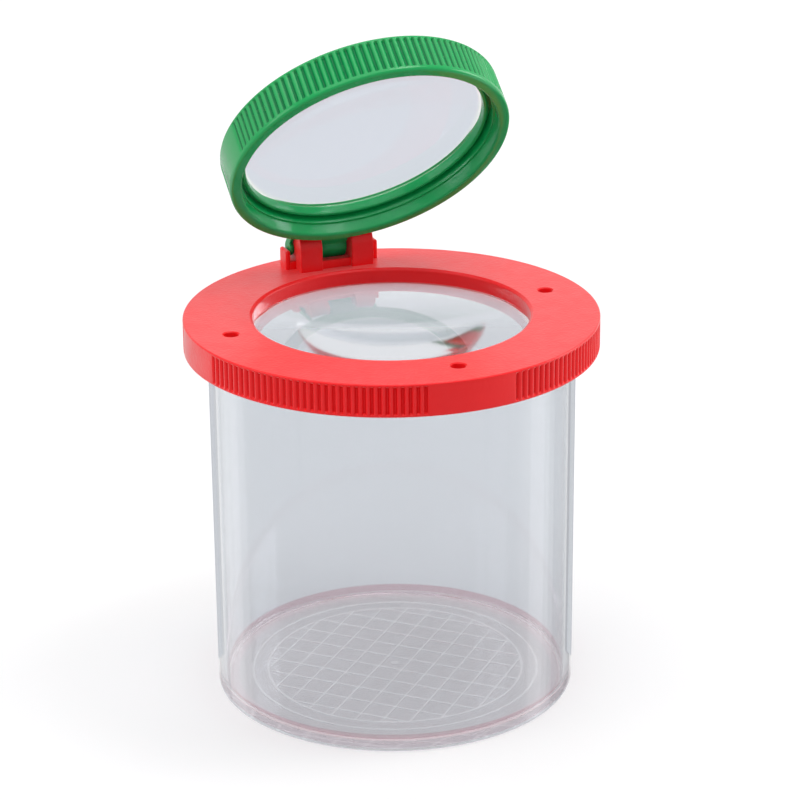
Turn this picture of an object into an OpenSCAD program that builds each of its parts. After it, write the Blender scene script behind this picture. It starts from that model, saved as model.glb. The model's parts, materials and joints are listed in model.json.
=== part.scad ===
// Bug catcher jar: a clear cup with a measuring grid in its floor, a push-on lid that
// holds a magnifying lens, and a second lens in a ring that swings up from the lid.
// Millimetres, +Z up, origin at the middle of the cup's foot, hinge towards +Y.

/* [Jar] */
// Height from the foot to the lid's top face
jar_h = 76; // [60:1:110]
// Gap between the cup's rim and the lid that lifts off it
lift_gap = 0.3; // [0.2:0.05:0.5]
// Gap between a lens and its pocket
lens_gap = 0.1; // [0.05:0.01:0.2]
// Size of the bead that keeps a lens in its pocket
bead = 0.25; // [0.15:0.05:0.35]

/* [Cup] */
// Outer diameter of the cup's wall
cup_d = 70.8; // [62:0.1:90]
// Thickness of the cup's wall
cup_wall = 1.6; // [1.2:0.1:2.2]
// Thickness of the cup's floor
floor_t = 1.5; // [1:0.1:3]
// Radius of the round corner between floor and wall
floor_round = 1.2; // [0.4:0.1:3]
// Slanted edge round the foot
foot_bevel = 0.5; // [0.2:0.1:0.9]
// How far the rim's flange stands out from the wall
flange_w = 2.4; // [1.5:0.1:4]
// Thickness of the rim's flange
flange_t = 1.6; // [1:0.1:2.2]

/* [Measuring grid] */
// Side of one square of the grid
grid_pitch = 5; // [4:0.5:8]
// Width of a moulded line
line_w = 0.4; // [0.3:0.05:0.8]
// Height of a moulded line above the floor
line_h = 0.2; // [0.1:0.05:0.4]
// Distance from the cup's inner wall to the outer circle
scale_inset = 5.3; // [4:0.1:8]
// Distance between the two circles round the grid
scale_band = 3; // [2:0.1:5]
// Turn of the grid against the hinge
grid_turn = 45; // [0:1:90]
// Diameter of the small dot in the middle of the floor
dot_d = 1.6; // [1:0.1:3]

/* [Lid] */
// Thickness of the lid's top
lid_t = 2.2; // [1.8:0.1:2.8]
// Height of the lid's edge from the top face down
skirt_h = 6.3; // [5:0.1:9]
// Thickness of the lid's edge
skirt_wall = 1.85; // [1.4:0.05:2.6]
// Slanted edge round the lid's top
lid_bevel = 0.4; // [0.2:0.1:0.6]
// Width of the land round the window that carries the closed ring
land_w = 1.25; // [0.8:0.05:2]
// Depth of the window's wall above the lid lens
window_depth = 3; // [2.9:0.1:4]
// Width of the ledge over the edge of the lid lens
lens_ledge = 1; // [0.6:0.1:1.4]
// Thickness of the collar round the lid lens
collar_wall = 1.6; // [1:0.1:2]
// Diameter of an air hole
air_hole_d = 3; // [1.5:0.1:3.4]
// Distance from the cup's inner wall to the middle of an air hole
air_hole_inset = 1.4; // [1:0.1:2]

/* [Grip ribs] */
// Angle from one groove of the lid's edge to the next
lid_rib_pitch = 2; // [2:0.5:6]
// Angle of each plain stretch of the lid's edge
lid_plain_arc = 23; // [10:1:40]
// Angle from one groove of the ring to the next
ring_rib_pitch = 3; // [2:0.5:6]
// Angle of each plain stretch at the ring's sides
ring_plain_arc = 24; // [10:1:40]
// Angle of the plain stretch behind the ring's hinge
hinge_plain_arc = 44; // [40:1:60]
// Depth of a groove
groove_depth = 0.4; // [0.2:0.05:0.6]
// Height of the plain lip above the lid's grooves
lid_lip = 0.7; // [0.5:0.1:1.5]
// Height of the plain lip at each end of the ring's grooves
ring_lip = 1; // [0.5:0.1:1.5]

/* [Lenses] */
// Thickness of the lid lens at its edge
lid_lens_edge = 2; // [1.5:0.1:3]
// Rise of each face of the lid lens
lid_lens_rise = 3.2; // [1:0.1:4]
// Thickness of the swing lens at its edge
swing_lens_edge = 1.6; // [1.2:0.1:2.4]
// Rise of each face of the swing lens
swing_lens_rise = 2.4; // [1:0.1:3]
// Width of the flat margin that shows round each lens face
lens_margin = 0.4; // [0.2:0.1:0.8]

/* [Swing ring] */
// Angle at which the ring stands open
ring_open = 50.1; // [0:0.1:180]
// Gap under the rim of the closed ring
ring_gap = 0.2; // [0.1:0.05:0.4]
// Thickness of the ring's wall at its rim
ring_wall = 2.25; // [1.8:0.05:3]
// Depth of the small step inside the rim
step_depth = 2.6; // [2:0.1:3.2]
// Width of the small step
step_w = 0.4; // [0.2:0.1:0.8]
// Depth of the collar's edge inside the rim
collar_depth = 3.8; // [3.4:0.1:4.4]
// Thickness of the collar round the lens opening
ring_collar = 0.8; // [0.6:0.1:1.2]
// Width of the groove outside the collar
collar_groove = 0.6; // [0.4:0.1:1]
// Depth of the seat of the swing lens inside the rim
seat_depth = 5.6; // [5.3:0.1:7]
// Thickness of the web between groove and seat
ring_web = 0.7; // [0.5:0.05:0.9]
// Width of the seat under the edge of the swing lens
seat_ledge = 1.1; // [0.8:0.1:1.4]
// Height of the ring's edge above its bead
ring_top_lip = 0.3; // [0.2:0.1:0.8]
// Slanted edges of the ring
ring_bevel = 0.35; // [0.2:0.05:0.6]

/* [Hinge] */
// Distance from the axle to the lid's outer edge
hinge_inset = 5.65; // [4.8:0.05:6.6]
// Distance from the axle to the ring's outer wall
hinge_reach = 6.45; // [5.8:0.05:7.5]
// Diameter of the axle
axle_d = 2.4; // [2:0.1:3]
// Running gap round the axle
axle_gap = 0.08; // [0.03:0.01:0.1]
// How much narrower than the axle the snap mouth is, on each side
snap_bite = 0.3; // [0.1:0.05:0.4]
// Slant of the snap mouth's outer corners
mouth_bevel = 0.4; // [0.2:0.1:0.6]
// Width of each ear
ear_w = 4.6; // [3:0.1:5.5]
// Distance between the two ears
ears_apart = 6.3; // [5:0.1:9]
// Height of the ears above the lid
ear_h = 8.2; // [7:0.1:9]
// Depth of the ears behind the axle
ear_back = 2.7; // [2.4:0.1:3.6]
// Gap between the ears' round front and the ring
ear_clear = 0.95; // [0.5:0.05:1.4]
// Radius of the knuckle between the ears
knuckle_r = 3; // [2.4:0.05:3.2]
// Gap beside the knuckle and the outer webs
side_gap = 0.2; // [0.15:0.05:0.3]
// Thickness of an outer web
web_t = 0.7; // [0.6:0.1:1.4]
// Radius of the round end of an outer web
web_r = 1.6; // [1.6:0.1:2.6]
// Gap between the knuckle and the lid's top
under_gap = 0.87; // [0.6:0.01:1.4]
// Thickness of a cheek outside the webs
cheek_t = 1; // [0.8:0.1:1.6]
// Height of the cheeks above the lid
cheek_h = 2.3; // [1.5:0.1:2.8]
// Distance of the cheeks' front from the axle
cheek_front = 4; // [3.8:0.1:5]
// Distance of the cheeks' back from the axle
cheek_back = 0.2; // [0:0.1:1.2]
// Height of the post at the back of a cheek
post_h = 4; // [3:0.1:5]
// Depth of the post at the back of a cheek
post_t = 1.3; // [1:0.1:2]
// Radius of the upper corners of cheeks and posts
cheek_round = 0.4; // [0.2:0.1:0.5]
// Thickness of the sill in front of the knuckle and the webs
sill_t = 1.9; // [1.7:0.1:2.1]
// Height of the sill between the ears
sill_h = 1.7; // [1:0.1:2.5]
// Height of the sill outside the ears
side_sill_h = 3.5; // [2.5:0.1:3.6]
// Gap between the sill and the arms of the closed ring
arm_gap = 0.3; // [0.2:0.05:0.6]

/* [Hidden] */

// Overrun of cuts, and depth by which joined forms reach into each other
over = 1;
// Facets of large round forms, of small ones, and points along one lens face
large_fn = 180;
small_fn = 48;
lens_steps = 16;
// Air holes stand at every quarter turn but the one with the hinge
quarter = 90;
air_hole_turns = [-90, 0, 180];
// A groove's mouth as a share of its pitch, and its floor as a share of its mouth
groove_mouth_share = 0.62;
groove_floor_share = 0.45;

cup_r = cup_d / 2;
cup_in_r = cup_r - cup_wall;
flange_r = cup_r + flange_w;
rim_z = jar_h - lid_t;

skirt_in_r = flange_r + lift_gap;
lid_r = skirt_in_r + skirt_wall;
hinge_y = lid_r - hinge_inset;
ring_r = hinge_y - hinge_reach;
window_r = ring_r - land_w;

scale_r = cup_in_r - scale_inset;
grid_r = scale_r - scale_band;

lid_lens_r = window_r + lens_ledge;
lid_pocket_r = lid_lens_r + lens_gap;
collar_r = lid_pocket_r + collar_wall;
lid_bead_depth = window_depth + lid_lens_edge + lens_gap;
collar_h = lid_bead_depth + 2 * bead + lid_bevel;

ring_in_r = ring_r - ring_wall;
groove_out_r = ring_in_r - step_w;
groove_in_r = groove_out_r - collar_groove;
opening_r = groove_in_r - ring_collar;
swing_lens_r = opening_r + seat_ledge;
ring_pocket_r = swing_lens_r + lens_gap;
ring_bead_h = seat_depth + swing_lens_edge + lens_gap;
ring_h = ring_bead_h + 2 * bead + ring_top_lip;

axle_rise = knuckle_r + under_gap;
hinge_z = jar_h + axle_rise;
bore_r = axle_d / 2 + axle_gap;
mouth_w = axle_d - 2 * snap_bite;
ear_r = hinge_reach - ear_clear;
ear_out_x = ears_apart / 2 + ear_w;
web_x = ear_out_x + side_gap;
axle_half = web_x + web_t;
cheek_x = axle_half + side_gap;
sill_x = cheek_x + side_gap;
ring_floor = ring_gap - axle_rise;

// Height of a spherical cap's surface at radius r, for a cap of the given rise and radius
function cap(r, rise, cap_r) =
    let (ball = (cap_r * cap_r + rise * rise) / (2 * rise))
    sqrt(ball * ball - r * r) - (ball - rise);

// Lens with two domed faces and a flat margin, its lower edge at height zero
module lens(r, edge, rise, dome_r) {
    top = [for (i = [0 : lens_steps]) let (x = dome_r * i / lens_steps) [x, edge + cap(x, rise, dome_r)]];
    bottom = [for (i = [lens_steps : -1 : 0]) let (x = dome_r * i / lens_steps) [x, -cap(x, rise, dome_r)]];
    rotate_extrude($fn = large_fn)
        polygon(concat(top, [[r, edge], [r, 0]], bottom));
}

// One groove of a ribbed edge, along Z from height zero, cut into a wall of radius r
module groove(r, h, pitch) {
    mouth = 2 * r * tan(pitch / 2) * groove_mouth_share;
    slope = mouth * (1 - groove_floor_share) / 2 / groove_depth;
    wide = mouth / 2 + slope * over;
    narrow = mouth / 2 * groove_floor_share;
    linear_extrude(h)
        polygon([
            [r - groove_depth, -narrow],
            [r - groove_depth, narrow],
            [r + over, wide],
            [r + over, -wide]
        ]);
}

// Grooves spread evenly over an arc of the given angle, centred on the angle middle
module groove_arc(r, h, pitch, arc, middle) {
    count = floor(arc / pitch);
    for (i = [0 : count - 1])
        rotate(middle + (i - (count - 1) / 2) * pitch)
            groove(r, h, pitch);
}

// Plate of thickness t along X, from x on, with an outline drawn in Y and Z
module side_plate(x, t) {
    translate([x, 0, 0])
        rotate([90, 0, 90])
            linear_extrude(t)
                children();
}

// The same plate on both sides of the middle
module both_sides(x, t) {
    side_plate(x, t) children();
    side_plate(-x - t, t) children();
}

// Raised lines and circles of the measuring grid, from a little inside the floor up
module grid_lines() {
    half_count = ceil(grid_r / grid_pitch);
    translate([0, 0, floor_t - line_h])
        linear_extrude(2 * line_h) {
            intersection() {
                circle(grid_r, $fn = large_fn);
                rotate(grid_turn)
                    for (turn = [0, quarter], i = [-half_count : half_count])
                        rotate(turn)
                            translate([(i - 0.5) * grid_pitch - line_w / 2, -grid_r])
                                square([line_w, 2 * grid_r]);
            }
            for (r = [grid_r, scale_r])
                difference() {
                    circle(r + line_w / 2, $fn = large_fn);
                    circle(r - line_w / 2, $fn = large_fn);
                }
            circle(dot_d / 2, $fn = small_fn);
        }
}

// Outline of the cup's wall, floor and flange in radius and height
module cup_outline() {
    difference() {
        union() {
            polygon([
                [0, 0],
                [cup_r - foot_bevel, 0],
                [cup_r, foot_bevel],
                [cup_r, rim_z],
                [0, rim_z]
            ]);
            polygon([
                [0, rim_z - flange_t - flange_w],
                [cup_r, rim_z - flange_t - flange_w / 2],
                [flange_r, rim_z - flange_t],
                [flange_r, rim_z],
                [0, rim_z]
            ]);
        }
        translate([0, floor_t + floor_round])
            square([cup_in_r, rim_z]);
        translate([0, floor_t])
            square([cup_in_r - floor_round, rim_z]);
        translate([cup_in_r - floor_round, floor_t + floor_round])
            circle(floor_round, $fn = small_fn);
    }
}

module jar_cup() {
    color([0.80, 0.85, 0.90, 0.4]) {
        rotate_extrude($fn = large_fn)
            cup_outline();
        grid_lines();
    }
}

// Outline of the lid's top, edge and lens collar in radius and height below the top
module lid_outline() {
    polygon([
        [window_r, 0],
        [lid_r - lid_bevel, 0],
        [lid_r, -lid_bevel],
        [lid_r, -skirt_h],
        [skirt_in_r, -skirt_h],
        [skirt_in_r, -lid_t],
        [collar_r, -lid_t],
        [collar_r, -collar_h],
        [lid_pocket_r, -collar_h],
        [lid_pocket_r, -lid_bead_depth - 2 * bead],
        [lid_pocket_r - bead, -lid_bead_depth - bead],
        [lid_pocket_r, -lid_bead_depth],
        [lid_pocket_r, -window_depth],
        [window_r, -window_depth]
    ]);
}

// Ear outline about the axle: straight below it, round in front, with a snap mouth behind
module ear_outline() {
    difference() {
        intersection() {
            translate([-ear_r, -axle_rise - over])
                square([ear_r + ear_back, ear_h + over]);
            union() {
                circle(ear_r, $fn = large_fn);
                translate([-ear_r, -axle_rise - over])
                    square([2 * ear_r, axle_rise + over]);
            }
        }
        circle(bore_r, $fn = small_fn);
        translate([0, -mouth_w / 2])
            square([ear_back + over, mouth_w]);
        polygon([
            [ear_back - mouth_bevel, mouth_w / 2],
            [ear_back + over, mouth_w / 2 + mouth_bevel + over],
            [ear_back + over, -mouth_w / 2 - mouth_bevel - over],
            [ear_back - mouth_bevel, -mouth_w / 2]
        ]);
    }
}

// Sill outline about the axle, of height h above the lid
module sill_outline(h) {
    translate([-ear_r, -axle_rise - over])
        square([sill_t, h + over]);
}

// Upright block from a little inside the lid to height h above it, its upper corners rounded
module rounded_block(depth, h) {
    top = h + over - cheek_round;
    square([depth, top]);
    translate([cheek_round, 0])
        square([depth - 2 * cheek_round, top + cheek_round]);
    for (y = [cheek_round, depth - cheek_round])
        translate([y, top])
            circle(cheek_round, $fn = small_fn);
}

// Cheek outline about the axle: a low block with a post at its back
module cheek_outline() {
    depth = cheek_front - cheek_back;
    translate([-cheek_front, -axle_rise - over]) {
        rounded_block(depth, cheek_h);
        translate([depth - post_t, 0])
            rounded_block(post_t, post_h);
    }
}

// Ears, sills and cheeks that stand on the lid and carry the ring's axle
module hinge_seat() {
    translate([0, hinge_y, hinge_z]) {
        both_sides(ears_apart / 2, ear_w)
            ear_outline();
        both_sides(ear_out_x - over, sill_x - ear_out_x + over)
            sill_outline(side_sill_h);
        both_sides(cheek_x, cheek_t)
            cheek_outline();
        side_plate(-ears_apart / 2 - over, ears_apart + 2 * over)
            sill_outline(sill_h);
    }
}

module lid() {
    color([0.93, 0.20, 0.22])
        difference() {
            union() {
                translate([0, 0, jar_h])
                    rotate_extrude($fn = large_fn)
                        lid_outline();
                hinge_seat();
            }
            for (turn = air_hole_turns)
                rotate(turn)
                    translate([cup_in_r - air_hole_inset, 0, jar_h - lid_t - over])
                        cylinder(d = air_hole_d, h = lid_t + 2 * over, $fn = small_fn);
            for (turn = [0 : 3])
                translate([0, 0, jar_h - skirt_h - over])
                    groove_arc(lid_r, skirt_h + over - lid_lip, lid_rib_pitch,
                        quarter - lid_plain_arc, (turn + 0.5) * quarter);
        }
}

module lid_lens() {
    color([0.86, 0.90, 0.93, 0.5])
        translate([0, 0, jar_h - window_depth - lid_lens_edge])
            lens(lid_lens_r, lid_lens_edge, lid_lens_rise, window_r - lens_margin);
}

// Places what is drawn for the closed ring, about the axle, where the ring stands open
module swung() {
    translate([0, hinge_y, hinge_z])
        rotate([-ring_open, 0, 0])
            children();
}

// Moves a form that is centred on the ring's axis to its place about the axle
module on_ring_axis() {
    translate([0, -hinge_y, ring_floor])
        children();
}

// Hollow of the ring: rim, step, groove, lens opening and lens pocket
module ring_hollow() {
    rotate_extrude($fn = large_fn)
        polygon([
            [0, -over],
            [ring_in_r, -over],
            [ring_in_r, step_depth],
            [groove_out_r, step_depth],
            [groove_out_r, seat_depth - ring_web],
            [groove_in_r, seat_depth - ring_web],
            [groove_in_r, collar_depth],
            [opening_r, collar_depth],
            [opening_r, seat_depth],
            [ring_pocket_r, seat_depth],
            [ring_pocket_r, ring_bead_h],
            [ring_pocket_r - bead, ring_bead_h + bead],
            [ring_pocket_r, ring_bead_h + 2 * bead],
            [ring_pocket_r, ring_h + over],
            [0, ring_h + over]
        ]);
}

// Outer form of the ring, solid
module ring_body() {
    rotate_extrude($fn = large_fn)
        polygon([
            [0, 0],
            [ring_r - ring_bevel, 0],
            [ring_r, ring_bevel],
            [ring_r, ring_h - ring_bevel],
            [ring_r - ring_bevel, ring_h],
            [0, ring_h]
        ]);
}

// Arm outline about the axle: a round end and an arm to the ring, over a sill of height h
module arm_outline(end_r, h) {
    low = h + arm_gap - axle_rise;
    reach = hinge_reach + 2 * ring_wall;
    circle(end_r, $fn = small_fn);
    translate([-reach, low])
        square([reach, end_r - low]);
}

// Knuckle between the ears, a web outside each ear, and the axle through all of them
module ring_arms() {
    knuckle_half = ears_apart / 2 - side_gap;
    side_plate(-knuckle_half, 2 * knuckle_half)
        arm_outline(knuckle_r, sill_h);
    both_sides(web_x, web_t)
        arm_outline(web_r, side_sill_h);
    translate([-axle_half, 0, 0])
        rotate([0, quarter, 0])
            cylinder(d = axle_d, h = 2 * axle_half, $fn = small_fn);
}

// Grooves round the ring, plain at both sides and behind the hinge
module ring_grooves() {
    h = ring_h - 2 * ring_lip;
    side_arc = quarter - ring_plain_arc / 2 - hinge_plain_arc / 2;
    side_middle = ring_plain_arc / 2 + side_arc / 2;
    translate([0, 0, ring_lip]) {
        groove_arc(ring_r, h, ring_rib_pitch, 2 * quarter - ring_plain_arc, -quarter);
        groove_arc(ring_r, h, ring_rib_pitch, side_arc, side_middle);
        groove_arc(ring_r, h, ring_rib_pitch, side_arc, 2 * quarter - side_middle);
    }
}

module swing_ring() {
    color([0.12, 0.62, 0.30])
        swung()
            difference() {
                union() {
                    on_ring_axis() ring_body();
                    ring_arms();
                }
                on_ring_axis() {
                    ring_hollow();
                    ring_grooves();
                }
            }
}

module swing_lens() {
    color([0.86, 0.90, 0.93, 0.5])
        swung()
            on_ring_axis()
                translate([0, 0, seat_depth])
                    lens(swing_lens_r, swing_lens_edge, swing_lens_rise, opening_r - lens_margin);
}

jar_cup();
lid();
lid_lens();
swing_ring();
swing_lens();
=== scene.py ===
"""Looks of a bug catcher jar: clear cup, ribbed lid, two magnifying lenses and a swing ring.

Sizes are in millimetres and are turned into metres where a mesh is made. The studio's sizes are in
metres. Angles are in degrees. A name says so where it is otherwise.
"""

import json
import logging
import math
from dataclasses import dataclass
from enum import Enum
from functools import reduce

import bmesh
import bpy
from mathutils import Matrix, Vector


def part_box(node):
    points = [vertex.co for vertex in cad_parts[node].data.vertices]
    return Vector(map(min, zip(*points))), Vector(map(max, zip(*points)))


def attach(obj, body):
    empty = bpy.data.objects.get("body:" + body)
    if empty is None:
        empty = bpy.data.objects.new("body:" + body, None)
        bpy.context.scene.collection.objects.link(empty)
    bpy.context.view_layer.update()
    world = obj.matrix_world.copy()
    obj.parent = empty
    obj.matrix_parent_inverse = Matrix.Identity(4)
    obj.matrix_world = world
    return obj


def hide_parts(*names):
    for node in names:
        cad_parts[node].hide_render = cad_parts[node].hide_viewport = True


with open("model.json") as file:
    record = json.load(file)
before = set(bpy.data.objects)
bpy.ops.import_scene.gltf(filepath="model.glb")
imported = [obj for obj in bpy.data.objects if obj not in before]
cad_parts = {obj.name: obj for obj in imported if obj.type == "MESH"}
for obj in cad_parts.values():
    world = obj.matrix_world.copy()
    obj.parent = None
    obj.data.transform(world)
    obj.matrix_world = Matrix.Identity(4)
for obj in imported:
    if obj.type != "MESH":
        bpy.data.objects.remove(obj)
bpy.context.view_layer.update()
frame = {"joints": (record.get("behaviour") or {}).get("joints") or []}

Colour = tuple[float, float, float]
Place = tuple[float, float, float]
Point = tuple[float, float]
Outline = list[tuple[float, float, bool]]  # Radius, height and whether the wall is grooved there
Fill = dict[str | int, object]
Socket = bpy.types.NodeSocket
Material = bpy.types.Material
Piece = bpy.types.Object

MM = 0.001
TINY = 1e-6
SLIVER = 0.002
IDLE_ANGLE = 3.0
BEVEL_ANGLE = 35.0
BEVEL_STEPS = 3
SMOOTH_ANGLE = 38.0
FLAT_FACE_WEIGHT = 100
# Groove bottoms between these shares of the depth get the painted shade
GROOVE_SHADE_SHARES: Point = (0.5, 1.05)  # Shares of a groove's depth
NOISE_RANGE: Point = (0.3, 0.7)  # Where most of the noise lies
FIRST_MIRRORING: Point = (0.5, 1.5)  # Glossy depths just under and over one
LAMP_AIM: Place = (0.0, 0.0, 0.06)
log = logging.getLogger("bug_catcher_jar")


class Change(Enum):
    """How one solid changes another."""

    ADD = "UNION"
    CUT = "DIFFERENCE"


class Side(Enum):
    """Side of the hinge or of the jar, as the sign of X."""

    LEFT = -1
    RIGHT = 1


class Surface(Enum):
    """Surface that the mould gives an opaque piece."""

    GRAINED = "grained"
    POLISHED = "polished"


# Finishes


class NodeBoard:
    """Node tree of a material or a world, with short calls for the nodes that are used here."""

    def __init__(self, owner: Material | bpy.types.World) -> None:
        """Start with an empty node tree.

        Args:
            owner: Material or world that the tree belongs to.
        """
        owner.use_nodes = True
        self.owner = owner
        self.tree = owner.node_tree
        self.tree.nodes.clear()
        self.surface = self.tree.nodes.new("ShaderNodeOutput" + type(owner).__name__).inputs["Surface"]

    def node(self, kind: str, fill: Fill | None = None, output: str | int = 0, **settings: object) -> Socket:
        """Add a node, set its properties and fill its inputs.

        Args:
            kind: Blender's name of the node type, after "ShaderNode".
            fill: Inputs by name or number, each with a socket to link or a constant.
            output: Name or number of the output that is used.
            **settings: Properties of the node.

        Returns:
            The output.
        """
        made = self.tree.nodes.new("ShaderNode" + kind)
        for name, value in settings.items():
            setattr(made, name, value)
        for key, value in (fill or {}).items():
            if isinstance(value, Socket):
                self.tree.links.new(value, made.inputs[key])
            else:
                made.inputs[key].default_value = value
        return made.outputs[output]

    def show(self, surface: Socket) -> Material | bpy.types.World:
        """Finish the material or world with what is seen of it."""
        self.tree.links.new(surface, self.surface)
        return self.owner

    def place(self) -> Socket:
        """Place on the object, in its own axes."""
        return self.node("TexCoord", output="Object")

    def light(self, name: str) -> Socket:
        """One value of the ray's path, by Blender's name."""
        return self.node("LightPath", output=name)

    def maths(self, operation: str, first: Socket, second: Socket | float) -> Socket:
        """Work out a value from two others, by Blender's name of the operation."""
        return self.node("Math", {0: first, 1: second}, operation=operation)

    def highest(self, *values: Socket) -> Socket:
        """Take the highest of several values."""
        return reduce(lambda first, second: self.maths("MAXIMUM", first, second), values)

    def seen(self) -> Socket:
        """One for a ray from the camera, from a reflection or through glass, and zero for others."""
        kinds = ("Is Camera Ray", "Is Glossy Ray", "Is Transmission Ray")
        return self.highest(*(self.light(kind) for kind in kinds))

    def either(self, share: Socket, first: Socket, second: Socket) -> Socket:
        """Mix two surfaces by the share of the second."""
        return self.node("MixShader", {"Fac": share, 1: first, 2: second})

    def noise(self, size_mm: float, detail: float, stretch: Place | None = None) -> Socket:
        """Add noise whose features have a given size.

        Args:
            size_mm: Size of a feature in millimetres.
            detail: Number of finer layers.
            stretch: Scale along X, Y and Z before the noise, or None.

        Returns:
            The noise's value, from 0 to 1.
        """
        source = self.place()
        if stretch is not None:
            source = self.node("Mapping", {"Vector": source, "Scale": stretch})
        return self.node("TexNoise", {"Vector": source, "Scale": 1 / (size_mm * MM), "Detail": detail})

    def spread(self, value: Socket, to: Point, source: Point = NOISE_RANGE) -> Socket:
        """Spread a value from the source's range over another."""
        ends = dict(zip(("From Min", "From Max", "To Min", "To Max"), (*source, *to)))
        return self.node("MapRange", {"Value": value, **ends})

    def mixed(self, share: Socket, first: Colour, second: Colour) -> Socket:
        """Mix two linear colours by the share of the second."""
        return self.node("Mix", {0: share, 6: (*first, 1), 7: (*second, 1)}, 2, data_type="RGBA")

    def bump(self, height: Socket, depth_mm: float, before: Socket | None = None) -> Socket:
        """Turn a height from 0 to 1 into a normal, on top of the normal before it."""
        normal = {} if before is None else {"Normal": before}
        return self.node("Bump", {"Distance": depth_mm * MM, "Height": height, **normal})


@dataclass(frozen=True)
class MouldedPlastic:
    """Opaque injection-moulded plastic."""

    name: str
    colour: Colour
    deep_colour: Colour
    roughness: float
    surface: Surface
    gloss: float = 0.3
    haze: float = 0.1
    haze_roughness: float = 0.3
    ior: float = 1.49
    uneven: Point = (-0.03, 0.04)
    cloud_mm: float = 9.0
    patch_mm: float = 3.0
    flow_mm: float = 4.0
    flow_depth_mm: float = 0.02
    grain_mm: float = 0.6
    grain_depth_mm: float = 0.045

    def material(self) -> Material:
        """Build the material.

        Returns:
            A material with cloudy colour, uneven gloss and the mould's relief.
        """
        board = NodeBoard(bpy.data.materials.new(self.name))
        cloud = board.spread(board.noise(self.cloud_mm, 3), (0, 1))
        patches = board.noise(self.patch_mm, 1)
        relief = board.bump(board.noise(self.flow_mm, 2), self.flow_depth_mm)
        if self.surface is Surface.GRAINED:
            relief = board.bump(board.noise(self.grain_mm, 2), self.grain_depth_mm, relief)
        return board.show(board.node("BsdfPrincipled", {
            "Base Color": board.mixed(cloud, self.colour, self.deep_colour),
            "Roughness": board.spread(patches, tuple(self.roughness + step for step in self.uneven)),
            "Normal": relief,
            "IOR": self.ior,
            "Specular IOR Level": self.gloss,
            "Sheen Weight": self.haze,
            "Sheen Roughness": self.haze_roughness,
        }))


@dataclass(frozen=True)
class ClearPlastic:
    """Clear injection-moulded plastic that light passes straight through."""

    name: str
    tint: Colour
    roughness: float
    wave_mm: float
    wave_depth_mm: float
    ior: float = 1.5
    gloss: float = 0.5
    milk: float = 0.0
    trap_depth: float = 2.5
    uneven: Point = (0.6, 1.4)
    haze_mm: float = 12.0
    wave_stretch: Place = (1, 1, 0.35)

    def material(self) -> Material:
        """Build the material.

        Returns:
            A glassy material with faint flow waves. Lamps shine straight through it, and so does
            light that was mirrored too often inside it.
        """
        board = NodeBoard(bpy.data.materials.new(self.name))
        patches = board.noise(self.haze_mm, 1)
        waves = board.noise(self.wave_mm, 1, self.wave_stretch)
        glassy = board.node("BsdfPrincipled", {
            "Base Color": (*self.tint, 1),
            "Roughness": board.spread(patches, tuple(self.roughness * share for share in self.uneven)),
            "Normal": board.bump(waves, self.wave_depth_mm),
            "Transmission Weight": 1 - self.milk,
            "IOR": self.ior,
            "Specular IOR Level": self.gloss,
        })
        through = board.node("BsdfTransparent", {"Color": (*(math.sqrt(c) for c in self.tint), 1)})
        trapped = board.maths("GREATER_THAN", board.light("Glossy Depth"), self.trap_depth)
        share = board.highest(board.light("Is Shadow Ray"), board.light("Is Diffuse Ray"), trapped)
        return board.show(board.either(share, glassy, through))


class Zone(Enum):
    """Zones of the cup with their finishes, in the order of its material slots."""

    WALL = ClearPlastic("clear_plastic", (0.748, 0.768, 0.795), 0.02, 22, 0.012)
    GRID = ClearPlastic("grid_lines", (0.995, 0.995, 0.995), 0.1, 5, 0.004, milk=0.12)
    # Pink, darker tints at the floor's corner and its edge: a painted reflection of the red lid
    CORNER = ClearPlastic("clear_plastic_painted_red_reflection", (0.66, 0.48, 0.52), 0.06, 9, 0.01)
    CORNER_EDGE = ClearPlastic("clear_plastic_painted_faint_red_reflection", (0.74, 0.63, 0.67), 0.04, 9, 0.01)
    # Pink, darker tint round the foot: a painted reflection of the red lid
    FOOT = ClearPlastic("clear_plastic_foot_painted_red_reflection", (0.60, 0.49, 0.535), 0.05, 9, 0.02)
    UNDER = ClearPlastic("clear_plastic_under", (0.99, 0.965, 0.955), 0.02, 22, 0.012)
    FLOOR = ClearPlastic("clear_plastic_floor", (0.66, 0.64, 0.66), 0.02, 22, 0.012)


BIG_LENS = ClearPlastic("lens_plastic", (0.78, 0.80, 0.83), 0.06, 30, 0.002, ior=1.38, trap_depth=3.5)
SMALL_LENS = ClearPlastic("small_lens_plastic", (0.662, 0.688, 0.745), 0.01, 30, 0.002, ior=1.16)
MARGIN = ClearPlastic("lens_margin", (0.99, 0.995, 0.995), 0.06, 5, 0.004, ior=1.2, milk=0.12)
RED = MouldedPlastic("red_plastic", (0.99, 0.008, 0.011), (0.95, 0.006, 0.009), 0.32, Surface.GRAINED,
                     gloss=0.32, haze=0.55)
# Darker red for the bottoms of the lid's grooves is painted shade, with less gloss and sheen
RED_PAINTED_GROOVE_SHADE = MouldedPlastic("red_plastic_painted_groove_shade", (0.83, 0.004, 0.006), (0.79, 0.003, 0.005), 0.36,
                            Surface.GRAINED, gloss=0.2, haze=0.05)
GREEN = MouldedPlastic("green_plastic", (0.006, 0.40, 0.10), (0.004, 0.37, 0.09), 0.16,
                       Surface.POLISHED, haze=0.0)
# Darker green for the bottoms of the ring's grooves is painted shade, with less gloss
GREEN_PAINTED_GROOVE_SHADE = MouldedPlastic("green_plastic_painted_groove_shade", (0.002, 0.225, 0.068), (0.001, 0.20, 0.06), 0.24,
                              Surface.POLISHED, gloss=0.15, haze=0.0)


# Mesh making


@dataclass(frozen=True)
class Corner:
    """One corner of a lathe outline."""

    r: float
    z: float
    fillet: float = 0.0
    grooved: bool = False


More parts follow.
